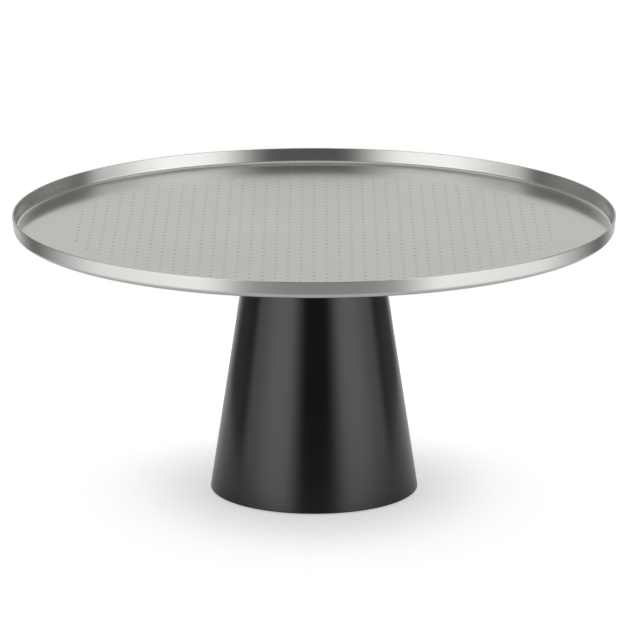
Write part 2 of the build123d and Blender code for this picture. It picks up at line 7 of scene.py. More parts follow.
import bpy
from mathutils import Euler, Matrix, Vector


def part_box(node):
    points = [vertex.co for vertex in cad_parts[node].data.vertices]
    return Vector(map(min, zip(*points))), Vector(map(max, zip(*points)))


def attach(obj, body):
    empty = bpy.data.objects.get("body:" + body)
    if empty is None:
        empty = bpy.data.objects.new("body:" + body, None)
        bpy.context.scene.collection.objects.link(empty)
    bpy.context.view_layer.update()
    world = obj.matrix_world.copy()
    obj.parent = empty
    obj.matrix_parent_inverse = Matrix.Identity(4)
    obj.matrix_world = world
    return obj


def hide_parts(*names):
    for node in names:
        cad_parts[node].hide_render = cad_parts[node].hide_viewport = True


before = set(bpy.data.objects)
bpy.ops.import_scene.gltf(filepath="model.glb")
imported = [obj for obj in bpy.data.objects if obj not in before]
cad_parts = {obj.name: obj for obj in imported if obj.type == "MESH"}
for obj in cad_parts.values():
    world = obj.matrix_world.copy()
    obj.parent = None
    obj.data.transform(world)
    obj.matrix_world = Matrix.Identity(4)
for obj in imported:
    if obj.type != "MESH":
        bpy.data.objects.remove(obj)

# Cake turntable: the finishes of its pieces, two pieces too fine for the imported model, and the studio.
# Metres, +Z up, origin in the middle of the footprint.

LOG = logging.getLogger("cake_turntable")
MM = 0.001

Value = bpy.types.NodeSocket | float | tuple[float, ...]  # what an input takes
Colour = tuple[float, float, float, float]

BLACK: Colour = (0.0, 0.0, 0.0, 1.0)
WHITE: Colour = (1.0, 1.0, 1.0, 1.0)


# ---------------------------------------------------------------- node trees

class Tree:
    """A shader node tree with short calls for adding and joining nodes."""

    def __init__(self, tree: bpy.types.NodeTree) -> None:
        """Wraps a tree.

        Args:
            tree: the tree of a material, a world or a node group.
        """
        self.tree = tree

    def node(self, kind: str, **settings: object) -> bpy.types.Node:
        """Adds a node.

        Args:
            kind: the node's type, without its "ShaderNode" prefix.
            settings: properties of the node, set after it is added.

        Returns:
            The new node.
        """
        made = self.tree.nodes.new(kind if kind.startswith("Node") else f"ShaderNode{kind}")
        for name, value in settings.items():
            setattr(made, name, value)
        return made

    def feed(self, socket: bpy.types.NodeSocket, value: Value) -> None:
        """Joins an output to a socket, or sets the socket to a constant.

        Args:
            socket: the input to feed.
            value: an output socket, a number, a vector or a colour.
        """
        if isinstance(value, bpy.types.NodeSocket):
            self.tree.links.new(value, socket)
        else:
            socket.default_value = value

    def math(self, operation: str, *values: Value, clamp: bool = False) -> bpy.types.NodeSocket:
        """Adds a Math node.

        Args:
            operation: the node's operation, such as "MULTIPLY".
            values: its inputs in order, each an output socket or a number.
            clamp: keep the result between 0 and 1.

        Returns:
            The node's output.
        """
        made = self.node("Math", operation=operation, use_clamp=clamp)
        for socket, value in zip(made.inputs, values):
            self.feed(socket, value)
        return made.outputs[0]

    def vector(self, operation: str, *values: Value) -> bpy.types.NodeOutputs:
        """Adds a Vector Math node.

        Args:
            operation: the node's operation, such as "NORMALIZE".
            values: its inputs in order, each an output socket or a vector.

        Returns:
            The node's outputs, Vector first.
        """
        made = self.node("VectorMath", operation=operation)
        for socket, value in zip(made.inputs, values):
            self.feed(socket, value)
        return made.outputs

    def split(self, vector: Value) -> bpy.types.NodeOutputs:
        """Takes a vector apart.

        Args:
            vector: the output socket to read.

        Returns:
            The outputs X, Y and Z.
        """
        made = self.node("SeparateXYZ")
        self.feed(made.inputs[0], vector)
        return made.outputs

    def ramp(self, value: Value, low: Value, high: Value, to_low: float = 0.0, to_high: float = 1.0
             ) -> bpy.types.NodeSocket:
        """Eases a value from one range into another.

        Args:
            value: the output socket to read.
            low: the value that gives to_low.
            high: the value that gives to_high.
            to_low: the result at and under low.
            to_high: the result at and over high.

        Returns:
            The eased value.
        """
        made = self.node("MapRange", interpolation_type="SMOOTHSTEP")
        for name, put in (("Value", value), ("From Min", low), ("From Max", high),
                          ("To Min", to_low), ("To Max", to_high)):
            self.feed(made.inputs[name], put)
        return made.outputs["Result"]

    def noise(self, vector: Value, scale: Value, detail: float = 2.0, w: Value | None = None
              ) -> bpy.types.NodeSocket:
        """Adds a Noise Texture.

        Args:
            vector: where to read the noise.
            scale: how many features there are in a metre.
            detail: how many finer layers are added.
            w: the fourth coordinate, if the noise has four.

        Returns:
            The noise, from 0 to 1 with a mean of 0.5.
        """
        made = self.node("TexNoise", noise_dimensions="3D" if w is None else "4D")
        self.feed(made.inputs["Vector"], vector)
        if w is not None:
            self.feed(made.inputs["W"], w)
        self.feed(made.inputs["Scale"], scale)
        self.feed(made.inputs["Detail"], detail)
        return made.outputs["Fac"]

    def mix(self, share: Value, first: Value, second: Value) -> bpy.types.NodeSocket:
        """Mixes two colours.

        Args:
            share: 0 for the first, 1 for the second.
            first: a colour or an output socket.
            second: a colour or an output socket.

        Returns:
            The mixed colour.
        """
        made = self.node("Mix", data_type="RGBA")
        self.feed(made.inputs["Factor"], share)
        for socket, value in ((made.inputs[6], first), (made.inputs[7], second)):
            self.feed(socket, value)
        return made.outputs[2]


# ---------------------------------------------------------------- shared effects

BROAD_SHARE = 0.12  # broad rings for each fine one
MOTTLE_SHARE = 0.03  # blotches for each grain
SMEAR_EDGES = (0.42, 0.72)  # the noise where a smear begins and where it is full
SCRATCH_TURN = (0.3, 0.2, 0.7)  # in radians, so that no scratch runs along an axis
SCRATCH_SQUEEZE = (90.0, 2.0, 8.0)  # makes long thin streaks of the noise
SCRATCH_SHARE = 0.6  # streaks for each smear, before the squeeze
SCRATCH_WIDTH = 0.006  # of the noise's range, to either side of its middle
WEAR_PER_METRE = 260.0  # features of its noise
WEAR_EDGES = (0.30, 0.48)  # the noise where wear begins and where it is full
HOLLOW_EDGES = (0.02, 0.2)  # shares of the depth where a hollow begins and where it is full
HOLLOW_FLOOR = (1.5, 2.0)  # shares of the depth where it ends, short of the sheet's other face


class Effect(Enum):
    """The shared surface effects. Each is one node group, built the first time it is asked for."""

    TURNING = "Turning marks"
    GRAIN = "Fine grain"
    HANDLING = "Handling marks"
    WORN_BAND = "Worn band"
    HOLLOWS = "Pressed hollows"
    PANEL = "Light panel"

    def group(self) -> bpy.types.NodeTree:
        """Returns the effect's node group, building it if it isn't there yet."""
        found = bpy.data.node_groups.get(self.value)
        return found if found else EFFECT_BUILDERS[self](self.value)


def new_group(name: str, inputs: dict[str, float], outputs: tuple[str, ...]) -> tuple[Tree, dict, dict]:
    """Starts a shader node group that reads a position and some numbers.

    Args:
        name: the group's name.
        inputs: name and default of each number.
        outputs: name of each output, all of them numbers.

    Returns:
        The group's tree, its inputs by name and its outputs by name, as sockets inside the group.
    """
    group = bpy.data.node_groups.new(name, "ShaderNodeTree")
    group.interface.new_socket("Position", in_out="INPUT", socket_type="NodeSocketVector")
    for key, value in inputs.items():
        group.interface.new_socket(key, in_out="INPUT", socket_type="NodeSocketFloat").default_value = value
    for key in outputs:
        group.interface.new_socket(key, in_out="OUTPUT", socket_type="NodeSocketFloat")
    tree = Tree(group)
    return tree, tree.node("NodeGroupInput").outputs, tree.node("NodeGroupOutput").inputs


def build_turning(name: str) -> bpy.types.NodeTree:
    """Builds the marks that turning, spinning or brushing on a lathe leaves: fine rings about the Z axis.

    Args:
        name: the group's name.

    Returns:
        The group, with the inputs Per Metre and Run and the outputs Fine and Broad.
    """
    tree, take, give = new_group(name, {"Per Metre": 4000.0, "Run": 3.0}, ("Fine", "Broad"))
    flat = tree.vector("MULTIPLY", take["Position"], (1.0, 1.0, 0.0))[0]
    radius = tree.vector("LENGTH", flat)["Value"]
    way = tree.split(tree.vector("NORMALIZE", flat)[0])
    height = tree.split(take["Position"])[2]
    for output, share in (("Fine", 1.0), ("Broad", BROAD_SHARE)):
        rings = tree.math("MULTIPLY", take["Per Metre"], share)
        place = tree.node("CombineXYZ")
        tree.feed(place.inputs[0], tree.math("MULTIPLY", radius, rings))
        tree.feed(place.inputs[1], tree.math("MULTIPLY", way[0], take["Run"]))
        tree.feed(place.inputs[2], tree.math("MULTIPLY", way[1], take["Run"]))
        level = tree.math("MULTIPLY", height, rings)
        tree.feed(give[output], tree.noise(place.outputs[0], 1.0, w=level))
    return tree.tree


def build_grain(name: str) -> bpy.types.NodeTree:
    """Builds an even grain, as on powder coat, castings and moulded parts.

    Args:
        name: the group's name.

    Returns:
        The group, with the input Per Metre and the outputs Grain and Mottle.
    """
    tree, take, give = new_group(name, {"Per Metre": 1500.0}, ("Grain", "Mottle"))
    tree.feed(give["Grain"], tree.noise(take["Position"], take["Per Metre"], detail=3.0))
    blotches = tree.math("MULTIPLY", take["Per Metre"], MOTTLE_SHARE)
    tree.feed(give["Mottle"], tree.noise(take["Position"], blotches))
    return tree.tree


def build_handling(name: str) -> bpy.types.NodeTree:
    """Builds the faint smears and hairline scratches that wiping and use leave.

    Args:
        name: the group's name.

    Returns:
        The group, with the input Per Metre and the outputs Smear and Scratch.
    """
    tree, take, give = new_group(name, {"Per Metre": 14.0}, ("Smear", "Scratch"))
    smear = tree.noise(take["Position"], take["Per Metre"], detail=4.0)
    tree.feed(give["Smear"], tree.ramp(smear, *SMEAR_EDGES))
    squeezed = tree.node("Mapping")
    squeezed.inputs["Rotation"].default_value = SCRATCH_TURN
    squeezed.inputs["Scale"].default_value = SCRATCH_SQUEEZE
    tree.feed(squeezed.inputs["Vector"], take["Position"])
    streaks = tree.math("MULTIPLY", take["Per Metre"], SCRATCH_SHARE)
    line = tree.noise(squeezed.outputs[0], streaks, detail=1.0)
    off_line = tree.math("ABSOLUTE", tree.math("SUBTRACT", line, 0.5))
    tree.feed(give["Scratch"], tree.ramp(off_line, 0.0, SCRATCH_WIDTH, 1.0, 0.0))
    return tree.tree


def build_worn_band(name: str) -> bpy.types.NodeTree:
    """Builds a band of broken wear along a level edge.

    Args:
        name: the group's name.

    Returns:
        The group, with the inputs Height and Reach, in metres, and the output Wear.
    """
    tree, take, give = new_group(name, {"Height": 0.0, "Reach": 0.001}, ("Wear",))
    height = tree.split(take["Position"])[2]
    off = tree.math("ABSOLUTE", tree.math("SUBTRACT", height, take["Height"]))
    near = tree.math("SUBTRACT", 1.0, tree.math("DIVIDE", off, take["Reach"]), clamp=True)
    broken = tree.noise(take["Position"], WEAR_PER_METRE, detail=4.0)
    tree.feed(give["Wear"], tree.ramp(tree.math("MULTIPLY", near, broken), *WEAR_EDGES))
    return tree.tree


def build_hollows(name: str) -> bpy.types.NodeTree:
    """Builds the mask of shallow marks stamped into a level face, where the tray's painted shade goes.

    Args:
        name: the group's name.

    Returns:
        The group, with the inputs Level and Depth, in metres, and the output Hollow.
    """
    tree, take, give = new_group(name, {"Level": 0.0, "Depth": 0.0002}, ("Hollow",))
    height = tree.split(take["Position"])[2]
    below = tree.math("DIVIDE", tree.math("SUBTRACT", take["Level"], height), take["Depth"])
    under, over = tree.ramp(below, *HOLLOW_EDGES), tree.ramp(below, *HOLLOW_FLOOR, 1.0, 0.0)
    tree.feed(give["Hollow"], tree.math("MULTIPLY", under, over))
    return tree.tree


def build_panel(name: str) -> bpy.types.NodeTree:
    """Builds the mask of a soft-edged light panel, as a patch of the sky round the object.

    Args:
        name: the group's name.

    Returns:
        The group, with its edges and their fades as inputs in radians, and the output Share. The position is
        a direction. Bearings run from -Y towards +X.
    """
    sides = {"Left": -1.0, "Left Fade": 0.1, "Right": 1.0, "Right Fade": 0.1}
    tree, take, give = new_group(name, sides | {"Low": 0.0, "High": 1.0, "Fade": 0.1}, ("Share",))
    x, y, z = tree.split(take["Position"])
    bearing = tree.math("ARCTAN2", x, tree.math("MULTIPLY", y, -1.0))
    rise = tree.math("ARCSINE", z)
    share = 1.0
    for angle, edge, fade, inside, outside in (
        (bearing, "Left", "Left Fade", 1.0, 0.0),
        (bearing, "Right", "Right Fade", 0.0, 1.0),
        (rise, "Low", "Fade", 1.0, 0.0),
        (rise, "High", "Fade", 0.0, 1.0),
    ):
        half = tree.math("MULTIPLY", take[fade], 0.5)
        start, end = tree.math("SUBTRACT", take[edge], half), tree.math("ADD", take[edge], half)
        share = tree.math("MULTIPLY", share, tree.ramp(angle, start, end, outside, inside))
    tree.feed(give["Share"], share)
    return tree.tree


EFFECT_BUILDERS = {
    Effect.TURNING: build_turning,
    Effect.GRAIN: build_grain,
    Effect.HANDLING: build_handling,
    Effect.WORN_BAND: build_worn_band,
    Effect.HOLLOWS: build_hollows,
    Effect.PANEL: build_panel,
}


# ---------------------------------------------------------------- finishes

class Surface:
    """A material under construction: its tree, its Principled shader and the position that patterns read."""

    def __init__(self, name: str) -> None:
        """Starts a material.

        Args:
            name: the material's name.
        """
        self.material = bpy.data.materials.new(name)
        self.material.use_nodes = True
        self.tree = Tree(self.material.node_tree)
        self.shader = self.material.node_tree.nodes["Principled BSDF"]
        self.position = self.tree.node("TexCoord").outputs["Object"]

    def effect(self, which: Effect, **values: float) -> bpy.types.NodeOutputs:
        """Places a shared effect.

        Args:
            which: the effect.
            values: its inputs, with underscores for spaces.

        Returns:
            The outputs of the effect.
        """
        made = self.tree.node("Group", node_tree=which.group())
        self.tree.feed(made.inputs["Position"], self.position)
        for name, value in values.items():
            made.inputs[name.replace("_", " ").title()].default_value = value
        return made.outputs

    def put(self, name: str, value: Value) -> None:
        """Feeds one of the shader's inputs with a constant or an output socket."""
        self.tree.feed(self.shader.inputs[name], value)

    def roughness(self, middle: float, *parts: tuple[bpy.types.NodeSocket, float]) -> None:
        """Sets a roughness that varies about a middle value.

        Args:
            middle: the roughness where every pattern is at its mean.
            parts: each a pattern and how much it adds from its lowest to its highest.
        """
        total = middle - sum(swing for _, swing in parts) / 2
        for pattern, swing in parts:
            total = self.tree.math("ADD", total, self.tree.math("MULTIPLY", pattern, swing))
        self.put("Roughness", total)

    def relief(self, *layers: tuple[bpy.types.NodeSocket, float]) -> None:
        """Raises the surface by patterns.

        Args:
            layers: each a pattern and its height in metres from lowest to highest.
        """
        normal = None
        for pattern, height in layers:
            bump = self.tree.node("Bump")
            bump.inputs["Distance"].default_value = height
            self.tree.feed(bump.inputs["Height"], pattern)
            if normal:
                self.tree.feed(bump.inputs["Normal"], normal)
            normal = bump.outputs["Normal"]
        self.put("Normal", normal)


class Finish(Protocol):
    """What every finish can do."""

    def material(self, name: str) -> bpy.types.Material:
        """Builds a material with this name."""


@dataclass(frozen=True)
class BrushedSteel:
    """Stainless sheet, spun to shape and brushed in rings, with small marks stamped into its floor and
    painted shade in them.
    """

    level: float  # height of the floor's upper face
    hollow_depth: float
    colour: Colour = (0.612, 0.60, 0.555, 1.0)
    deep: Colour = (0.572, 0.56, 0.517, 1.0)
    # painted shade: the pits in the floor get a darker colour than the sheet around them
    painted_pit_shade: Colour = (0.46, 0.455, 0.424, 1.0)
    wall_colour: Colour = (0.600, 0.598, 0.583, 1.0)
    wall_calm: float = 0.3  # how much of the brushing is left on the wall
    floor_roughness: float = 0.16
    wall_roughness: float = 0.30
    bend: float = 1.5 * MM  # height over which the one becomes the other
    pull: float = 0.9  # how far highlights stretch
    pull_turn: float = 0.25  # a quarter turn, so that they stretch across the brushing
    rings_per_metre: float = 3200.0
    ring_run: float = 2.4  # how soon a ring changes on its way round
    ring_height: float = 0.0015 * MM
    ring_swing: float = 0.06
    smear_swing: float = 0.02
    scratch_swing: float = 0.03

    def material(self, name: str) -> bpy.types.Material:
        """Builds the material.

        Args:
            name: the material's name.

        Returns:
            The material.
        """
        surface = Surface(name)
        tree = surface.tree
        rings = surface.effect(Effect.TURNING, per_metre=self.rings_per_metre, run=self.ring_run)
        wiped = surface.effect(Effect.HANDLING)
        hollow = surface.effect(Effect.HOLLOWS, level=self.level, depth=self.hollow_depth)["Hollow"]
        wall = tree.ramp(tree.split(surface.position)[2], self.level, self.level + self.bend)
        # painted shade: the pits that the mask finds below the floor's face are coloured darker
        floor = tree.mix(hollow, tree.mix(rings["Broad"], self.deep, self.colour), self.painted_pit_shade)
        surface.put("Base Color", tree.mix(wall, floor, self.wall_colour))
        surface.put("Metallic", 1.0)
        calm = tree.ramp(wall, 0.0, 1.0, 1.0, self.wall_calm)
        brushing = tree.math("MULTIPLY", rings["Fine"], calm)
        scratches = tree.math("MULTIPLY", wiped["Scratch"], calm)
        step = self.wall_roughness - self.floor_roughness
        surface.roughness(
            self.floor_roughness + step / 2,
            (wall, step),
            (brushing, self.ring_swing),
            (wiped["Smear"], self.smear_swing),
            (scratches, self.scratch_swing),
        )
        surface.put("Anisotropic", self.pull)
        surface.put("Anisotropic Rotation", self.pull_turn)
        tangent = tree.node("Tangent", direction_type="RADIAL", axis="Z")
        surface.put("Tangent", tangent.outputs[0])
        surface.relief((brushing, self.ring_height))
        return surface.material


@dataclass(frozen=True)
class PowderCoat:
    """Satin powder coat with a fine orange-peel texture, and a trace of wear along one edge."""

    colour: Colour = (0.003, 0.003, 0.0031, 1.0)
    worn: Colour = (0.02, 0.02, 0.02, 1.0)
    roughness: float = 0.20
    edge_height: float = 0.0
    edge_reach: float = 1.2 * MM
    grains_per_metre: float = 1400.0
    grain_height: float = 0.012 * MM
    swing: float = 0.05

    def material(self, name: str) -> bpy.types.Material:
        """Builds the material.

        Args:
            name: the material's name.

        Returns:
            The material.
        """
        surface = Surface(name)
        grain = surface.effect(Effect.GRAIN, per_metre=self.grains_per_metre)
        wiped = surface.effect(Effect.HANDLING)
        edge = surface.effect(Effect.WORN_BAND, height=self.edge_height, reach=self.edge_reach)
        surface.put("Base Color", surface.tree.mix(edge["Wear"], self.colour, self.worn))
        surface.roughness(self.roughness, (grain["Mottle"], self.swing), (wiped["Smear"], self.swing))
        surface.relief((grain["Grain"], self.grain_height))
        return surface.material


@dataclass(frozen=True)
class TurnedMetal:
    """Metal with visible turning marks, with painted shade in their grooves: the aluminium parts, the
    spindle and the ground rings.
    """

    colour: Colour
    roughness: float
    rings_per_metre: float = 3000.0
    ring_run: float = 0.8
    ring_height: float = 0.01 * MM
    ring_swing: float = 0.12
    smear_swing: float = 0.06
    # painted shade in the turning grooves
    groove_painted_shade: float = 0.8  # the grooves' colour as a share of the ridges'

    def material(self, name: str) -> bpy.types.Material:
        """Builds the material.

        Args:
            name: the material's name.

        Returns:
            The material.
        """
        surface = Surface(name)
        rings = surface.effect(Effect.TURNING, per_metre=self.rings_per_metre, run=self.ring_run)
        wiped = surface.effect(Effect.HANDLING)
        # painted shade: the grooves of the turning marks are coloured darker than the ridges
        painted_groove_colour = tuple(self.groove_painted_shade * part for part in self.colour[:3]) + (1.0,)
        surface.put("Base Color", surface.tree.mix(rings["Fine"], painted_groove_colour, self.colour))
        surface.put("Metallic", 1.0)
        surface.roughness(
            self.roughness,
            (rings["Fine"], self.ring_swing),
            (wiped["Smear"], self.smear_swing),
        )
        surface.relief((rings["Fine"], self.ring_height))
        return surface.material


@dataclass(frozen=True)
class GrainedMetal:
    """Metal with an even grain: plated or blackened fasteners, pressed sheet and castings."""

    colour: Colour
    mottled: Colour
    roughness: float
    metallic: float = 1.0
    grains_per_metre: float = 2500.0
    grain_height: float = 0.008 * MM
    mottle_swing: float = 0.12
    scratch_swing: float = 0.05

    def material(self, name: str) -> bpy.types.Material:
        """Builds the material.

        Args:
            name: the material's name.

        Returns:
            The material.
        """
        surface = Surface(name)
        grain = surface.effect(Effect.GRAIN, per_metre=self.grains_per_metre)
        wiped = surface.effect(Effect.HANDLING)
        surface.put("Base Color", surface.tree.mix(grain["Mottle"], self.colour, self.mottled))
        surface.put("Metallic", self.metallic)
        surface.roughness(
            self.roughness,
            (grain["Mottle"], self.mottle_swing),
            (wiped["Scratch"], self.scratch_swing),
        )
        surface.relief((grain["Grain"], self.grain_height))
        return surface.material


@dataclass(frozen=True)
class Moulded:
    """Moulded silicone or nylon: a soft sheen, a faint grain and a little dust."""

    colour: Colour
    dusty: Colour
    roughness: float
    sheen: float = 0.0
    grains_per_metre: float = 2200.0
    grain_height: float = 0.01 * MM
    dust_per_metre: float = 40.0
    mottle_swing: float = 0.1
    dust_swing: float = 0.08

    def material(self, name: str) -> bpy.types.Material:
        """Builds the material.

        Args:
            name: the material's name.

        Returns:
            The material.
        """
        surface = Surface(name)
        grain = surface.effect(Effect.GRAIN, per_metre=self.grains_per_metre)
        dust = surface.effect(Effect.HANDLING, per_metre=self.dust_per_metre)["Smear"]
        surface.put("Base Color", surface.tree.mix(dust, self.colour, self.dusty))
        surface.put("Sheen Weight", self.sheen)
        surface.roughness(self.roughness, (grain["Mottle"], self.mottle_swing), (dust, self.dust_swing))
        surface.relief((grain["Grain"], self.grain_height))
        return surface.material


ALUMINIUM = TurnedMetal((0.72, 0.72, 0.73, 1.0), 0.34)
SPINDLE_STEEL = TurnedMetal((0.60, 0.60, 0.60, 1.0), 0.26, rings_per_metre=5000.0, ring_height=0.004 * MM)
RING_STEEL = TurnedMetal((0.66, 0.66, 0.67, 1.0), 0.14, rings_per_metre=9000.0, ring_height=0.002 * MM)
BALL_STEEL = GrainedMetal((0.75, 0.75, 0.76, 1.0), (0.72, 0.72, 0.73, 1.0), 0.08, grain_height=0.0005 * MM)
ZINC = GrainedMetal((0.62, 0.63, 0.64, 1.0), (0.50, 0.51, 0.50, 1.0), 0.34)
BLACK_OXIDE = GrainedMetal((0.045, 0.045, 0.048, 1.0), (0.025, 0.025, 0.028, 1.0), 0.42)
SHIELD_STEEL = GrainedMetal((0.55, 0.55, 0.56, 1.0), (0.48, 0.48, 0.49, 1.0), 0.30)
CAST_IRON = GrainedMetal((0.10, 0.097, 0.093, 1.0), (0.05, 0.048, 0.046, 1.0), 0.62,
                         metallic=0.8, grains_per_metre=700.0, grain_height=0.12 * MM)
SILICONE = Moulded((0.018, 0.018, 0.019, 1.0), (0.045, 0.044, 0.042, 1.0), 0.62, sheen=0.15)
NYLON = Moulded((0.70, 0.66, 0.54, 1.0), (0.62, 0.58, 0.47, 1.0), 0.48)


def dress(finish: Finish, *nodes: str) -> None:
    """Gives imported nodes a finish.

    Args:
        finish: the finish, which builds one material for each node.
        nodes: the nodes' names.
    """
    for name in nodes:
        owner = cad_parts[name]
        owner.data.materials.clear()
        owner.data.materials.append(finish.material(name))
        LOG.info("%s wears %s", name, type(finish).__name__)


# ---------------------------------------------------------------- modelling helpers

def clear_selection() -> None:
    """Leaves object mode with nothing selected."""
    if bpy.context.object and bpy.context.object.mode != "OBJECT":
        bpy.ops.object.mode_set(mode="OBJECT")
    bpy.ops.object.select_all(action="DESELECT")


def lathe(name: str, outline: list[tuple[float, float]], segments: int) -> bpy.types.Object:
    """Models a closed ring by extruding a circle from point to point of its cross-section.

    Args:
        name: the piece's name.
        outline: the cross-section as (radius, height) points in metres, in order, not repeating the first.
        segments: how many sides the circle has.

    Returns:
        The ring, with its normals outwards.
    """
    clear_selection()
    (radius, height), *rest = outline
    bpy.ops.mesh.primitive_circle_add(vertices=segments, radius=radius, location=(0.0, 0.0, height))
    piece = bpy.context.object
    piece.name = piece.data.name = name
    bpy.ops.object.transform_apply(location=True, rotation=True, scale=True)
    bpy.ops.object.mode_set(mode="EDIT")
    for next_radius, next_height in rest + [outline[0]]:
        bpy.ops.mesh.extrude_edges_move(TRANSFORM_OT_translate={"value": (0.0, 0.0, next_height - height)})
        share = next_radius / radius
        bpy.ops.transform.resize(value=(share, share, 1.0), center_override=(0.0, 0.0, next_height))
        radius, height = next_radius, next_height
    bpy.ops.mesh.select_all(action="SELECT")
    bpy.ops.mesh.remove_doubles(threshold=1e-6)
    bpy.ops.mesh.normals_make_consistent(inside=False)
    bpy.ops.object.mode_set(mode="OBJECT")
    return piece


def finish_piece(piece: bpy.types.Object, body: str, finish: Finish, smooth: float = 40.0) -> None:
    """Gives a new piece its material, shading and body.

    Args:
        piece: the piece, with its place in its mesh.
        body: the body that it moves with.
        finish: its finish.
        smooth: edges sharper than this many degrees stay sharp.
    """
    clear_selection()
    piece.select_set(True)
    bpy.context.view_layer.objects.active = piece
    bpy.ops.object.shade_smooth_by_angle(angle=radians(smooth))
    piece.data.materials.clear()
    piece.data.materials.append(finish.material(piece.name))
    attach(piece, body)
    clear_selection()
    LOG.info("%s: %d faces on %s", piece.name, len(piece.data.polygons), body)


def copies_at(piece: bpy.types.Object, places: list[Vector]) -> bpy.types.Object:
    """Copies a piece to each place, each copy with its own mesh, and joins the copies into one object.

    Args:
        piece: the piece, modelled about the Z axis.
        places: where each copy goes.

    Returns:
        The joined piece, with its place in its mesh.
    """
    clear_selection()
    for place in places[1:]:
        copy = piece.copy()
        copy.data = piece.data.copy()
        bpy.context.collection.objects.link(copy)
        copy.location = place
        copy.select_set(True)
    piece.location = places[0]
    piece.select_set(True)
    bpy.context.view_layer.objects.active = piece
    bpy.ops.object.join()
    bpy.ops.object.transform_apply(location=True, rotation=True, scale=True)
    return piece


# ---------------------------------------------------------------- sub-assemblies

@dataclass
class TurningTop:
    """The tray, the hub plate under it and what fastens them to the spindle."""

    sheet: float = 0.8 * MM
    dimple_depth: float = 0.14 * MM
    washer: float = 9.0 * MM
    insert_bore: float = 2.05 * MM  # a radius
    insert_wall: float = 0.75 * MM
    insert_edge: float = 0.06 * MM
    insert_proud: float = 0.12 * MM  # past the end of the nut
    insert_sides: int = 40

    def stud_places(self) -> list[Vector]:
        """Finds the studs from the box of their washers.

        Returns:
            The middle of each stud, at table height.
        """
        low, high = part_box("stud_washers")
        reach = (high.x - low.x - self.washer) / 2
        return [Vector((reach * sx, reach * sy, 0.0)) for sx in (1, -1) for sy in (1, -1)]

    def build_inserts(self) -> None:
        """Models the nylon ring that shows in the end of each lock nut."""
        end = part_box("stud_lock_nuts")[0].z
        inner, outer = self.insert_bore, self.insert_bore + self.insert_wall
        edge, top, bottom = self.insert_edge, end + 2 * self.insert_proud, end - self.insert_proud
        outline = [
            (inner, top),
            (inner, bottom + edge),
            (inner + edge, bottom),
            (outer - edge, bottom),
            (outer, bottom + edge),
            (outer, top),
        ]
        ring = copies_at(lathe("stud_nut_inserts", outline, self.insert_sides), self.stud_places())
        finish_piece(ring, "turntable", NYLON)

    def build(self) -> None:
        """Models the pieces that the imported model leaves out."""
        self.build_inserts()

    def dress(self) -> None:
        """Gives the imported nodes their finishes."""
        dress(BrushedSteel(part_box("tray")[0].z + self.sheet, self.dimple_depth), "tray")
        dress(ALUMINIUM, "hub_plate")
        dress(ZINC, "tray_weld_studs", "stud_washers", "stud_lock_nuts")
        dress(BLACK_OXIDE, "hub_screws", "spindle_retaining_ring")
        dress(SPINDLE_STEEL, "spindle", "wave_washer")


class Seat(Enum):
    """The two bearings, by where they sit on the spindle."""

    UPPER = "upper_bearing"
    LOWER = "lower_bearing"


@dataclass
class Bearing:
    """One ball bearing."""

    seat: Seat

    def dress(self) -> None:
        """Gives the bearing's nodes their finishes."""
        name = self.seat.value
        dress(RING_STEEL, f"{name}_inner_ring", f"{name}_outer_ring")
        dress(SHIELD_STEEL, f"{name}_shields")
        dress(BALL_STEEL, f"{name}_balls")
        dress(NYLON, f"{name}_cage")


@dataclass
class Pedestal:
    """The conical shell with its ballast, bearing housing and foot."""

    foot_width: float = 6.5 * MM
    foot_sides: int = 256
    rib_count: int = 3
    rib_depth: float = 0.5 * MM
    edge_trim: float = 0.5 * MM

    def build_foot(self) -> None:
        """Models the foot ring with the ribs of its tread, in place of the plain imported ring."""
        low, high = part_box("foot_ring")
        outer = high.x
        inner = outer - self.foot_width
        edge = self.edge_trim
        step = (self.foot_width - 2 * edge) / (2 * self.rib_count - 1)
        lean = self.rib_depth / 2
        outline = [(inner, high.z), (inner, low.z + edge)]
        for rib in range(self.rib_count):
            start = inner + edge + 2 * rib * step
            outline += [(start, low.z), (start + step, low.z)]
            if rib < self.rib_count - 1:
                groove = low.z + self.rib_depth
                outline += [(start + step + lean, groove), (start + 2 * step - lean, groove)]
        outline += [(outer, low.z + edge), (outer, high.z)]
        ring = lathe("foot_ring_tread", outline, self.foot_sides)
        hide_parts("foot_ring")
        finish_piece(ring, "pedestal", SILICONE)

    def build(self) -> None:
        """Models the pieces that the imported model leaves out."""
        self.build_foot()

    def dress(self) -> None:
        """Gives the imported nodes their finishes."""
        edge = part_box("pedestal_shell")[0].z
        dress(PowderCoat(edge_height=edge), "pedestal_shell", "base_cover")
        dress(ALUMINIUM, "bearing_housing", "housing_end_cap")
        dress(SPINDLE_STEEL, "housing_dowels")
        dress(BLACK_OXIDE, "end_cap_screws", "base_cover_screws", "tie_bolt")
        dress(ZINC, "tie_bolt_washer")
        dress(CAST_IRON, "ballast")
        dress(SILICONE, "foot_ring")


# ---------------------------------------------------------------- studio

@dataclass(frozen=True)
class Panel:
    """A soft-edged patch of light round the object. Bearings are in degrees from -Y towards +X."""

    left: float
    right: float
    low: float
    high: float
    brightness: float
    left_fade: float = 28.0
    right_fade: float = 28.0
    fade: float = 12.0

    def mirrored(self, shift: float) -> "Panel":
        """Returns the panel's twin on the other side, turned by some degrees towards +X."""
        return replace(self, left=shift - self.right, right=shift - self.left,
                       left_fade=self.right_fade, right_fade=self.left_fade)


